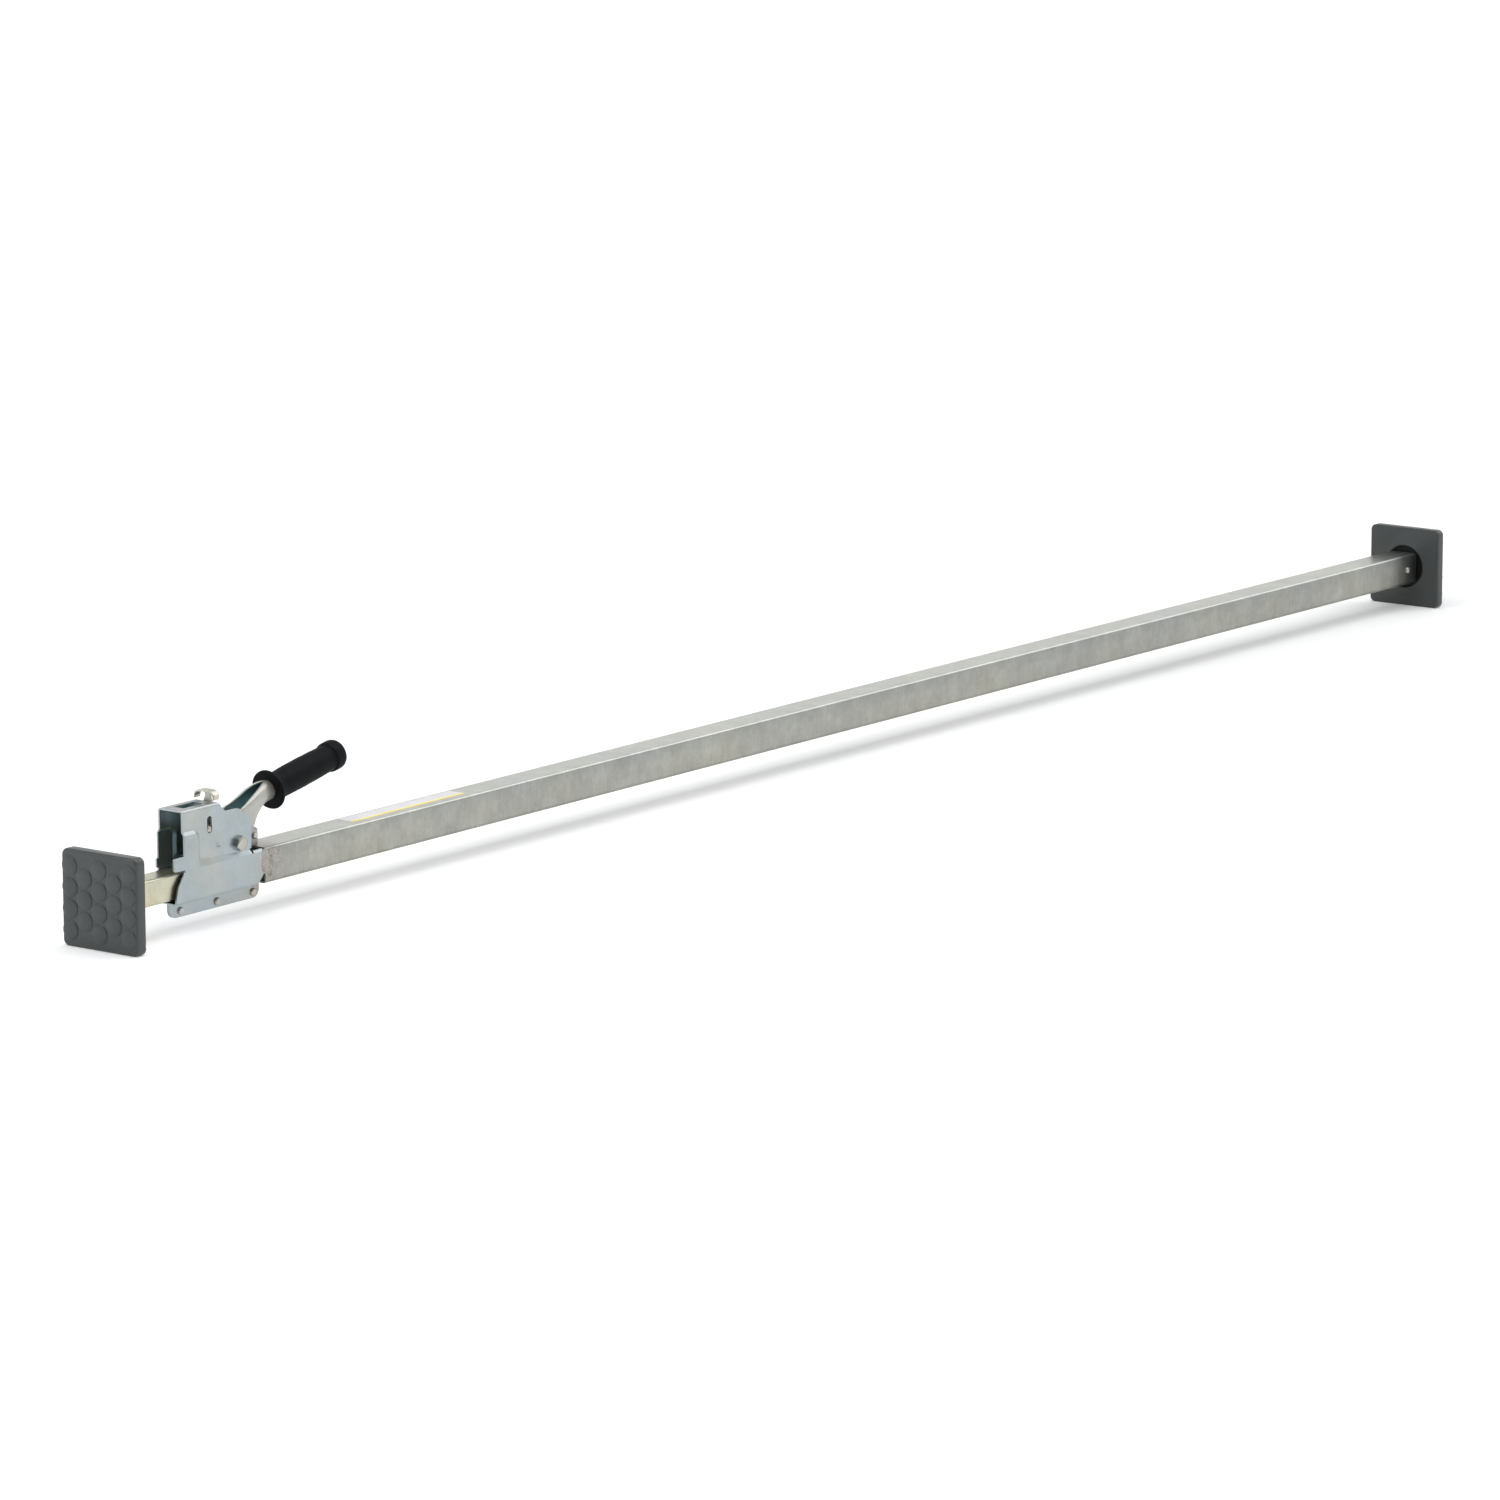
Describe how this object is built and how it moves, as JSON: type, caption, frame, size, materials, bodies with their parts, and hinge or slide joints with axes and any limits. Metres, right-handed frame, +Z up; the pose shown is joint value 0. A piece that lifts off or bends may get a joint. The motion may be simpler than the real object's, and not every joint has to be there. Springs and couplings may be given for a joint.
{
  "type": "bed cargo bar",
  "caption": "Telescoping square-tube cargo bar with swivelling rubber feet and a lever jack that wedges it across a truck bed or trailer.",
  "frame": {"origin": "midway between the two feet's gripping faces, on the surface that the feet's lower edges stand on", "axes": "+X along the bar from the sliding foot to the fixed foot, +Y across the bar, +Z up, the side that the lever is on"},
  "size_m": [2.527, 0.1016, 0.161],
  "materials": {
    "galvanised_tube": "galvanised, dull mottled",
    "zinc_plate": "bright zinc plated, satin",
    "yellow_zinc": "yellow zinc plated, satin",
    "rivet_steel": "zinc plated",
    "bolt_steel": "zinc plated",
    "weld_metal": "rough weld",
    "stem_steel": "black phosphated",
    "pawl_steel": "hardened, yellow zinc",
    "spring_steel": "drawn wire",
    "release_steel": "zinc plated, worn",
    "nylon": "moulded",
    "pad_rubber": "moulded, matte",
    "grip_rubber": "moulded, satin",
    "label": "plain film"
  },
  "bodies": {
    "bar": {"outer_tube": "galvanised_tube", "housing": "zinc_plate", "flange_rivets": "rivet_steel", "tail_rivet": "rivet_steel", "weld_beads": "weld_metal", "pivot_bolt": "bolt_steel", "pivot_nut": "bolt_steel", "pivot_washers": "nylon", "stop_pin": "bolt_steel", "lower_guide": "nylon", "mouth_bush": "nylon", "blank_label": "label", "fixed_foot_rivet": "rivet_steel"},
    "inner_tube": {"inner_tube": "yellow_zinc", "end_glide": "nylon", "sliding_foot_rivet": "rivet_steel"},
    "sliding_foot": {"sliding_foot_pad": "pad_rubber", "sliding_foot_stem": "stem_steel"},
    "fixed_foot": {"fixed_foot_pad": "pad_rubber", "fixed_foot_stem": "stem_steel"},
    "lever": {"lever": "zinc_plate", "grip": "grip_rubber", "pivot_bush": "bolt_steel", "drive_pin": "bolt_steel"},
    "drive_pawl": {"drive_pawl": "pawl_steel", "drive_pawl_spring": "spring_steel"},
    "release": {"release_handle": "release_steel", "release_carrier": "release_steel", "cross_pin": "bolt_steel", "release_spring": "spring_steel"},
    "lock_pawl": {"lock_pawl": "pawl_steel", "lock_pawl_spring": "spring_steel"}
  },
  "joints": [
    {"name": "tube_slide", "type": "slide", "parent": "bar", "child": "inner_tube", "axis": [-1, 0, 0], "range_m": [-0.07, 0.311]},
    {"name": "sliding_foot_swivel", "type": "hinge", "parent": "inner_tube", "child": "sliding_foot", "pos_m": [-1.2256, 0, 0.0508], "axis": [0, 1, 0], "range_deg": [-5, 5]},
    {"name": "fixed_foot_swivel", "type": "hinge", "parent": "bar", "child": "fixed_foot", "pos_m": [1.2256, 0, 0.0508], "axis": [0, 1, 0], "range_deg": [-5, 5]},
    {"name": "lever_hinge", "type": "hinge", "parent": "bar", "child": "lever", "pos_m": [-1.0647, 0, 0.0808], "axis": [0, -1, 0], "range_deg": [0, 58]},
    {"name": "drive_pawl_hinge", "type": "hinge", "parent": "lever", "child": "drive_pawl", "pos_m": [-1.06935, 0, 0.07083], "axis": [0, -1, 0], "range_deg": [-64, 0]},
    {"name": "release_lift", "type": "slide", "parent": "bar", "child": "release", "axis": [0, 0, 1], "range_m": [0, 0.01], "stiffness_N_per_m": 600, "springref_m": -0.008, "deforming": ["release_spring"]},
    {"name": "lock_pawl_hinge", "type": "hinge", "parent": "release", "child": "lock_pawl", "pos_m": [-1.11, 0, 0.1028], "axis": [0, 1, 0], "range_deg": [0, 15], "stiffness_Nm_per_rad": 0.05, "springref_deg": -28.65}
  ],
  "couplings": [
    {"joint": "drive_pawl_hinge", "follows": "lever_hinge", "ratio": -1.1}
  ]
}
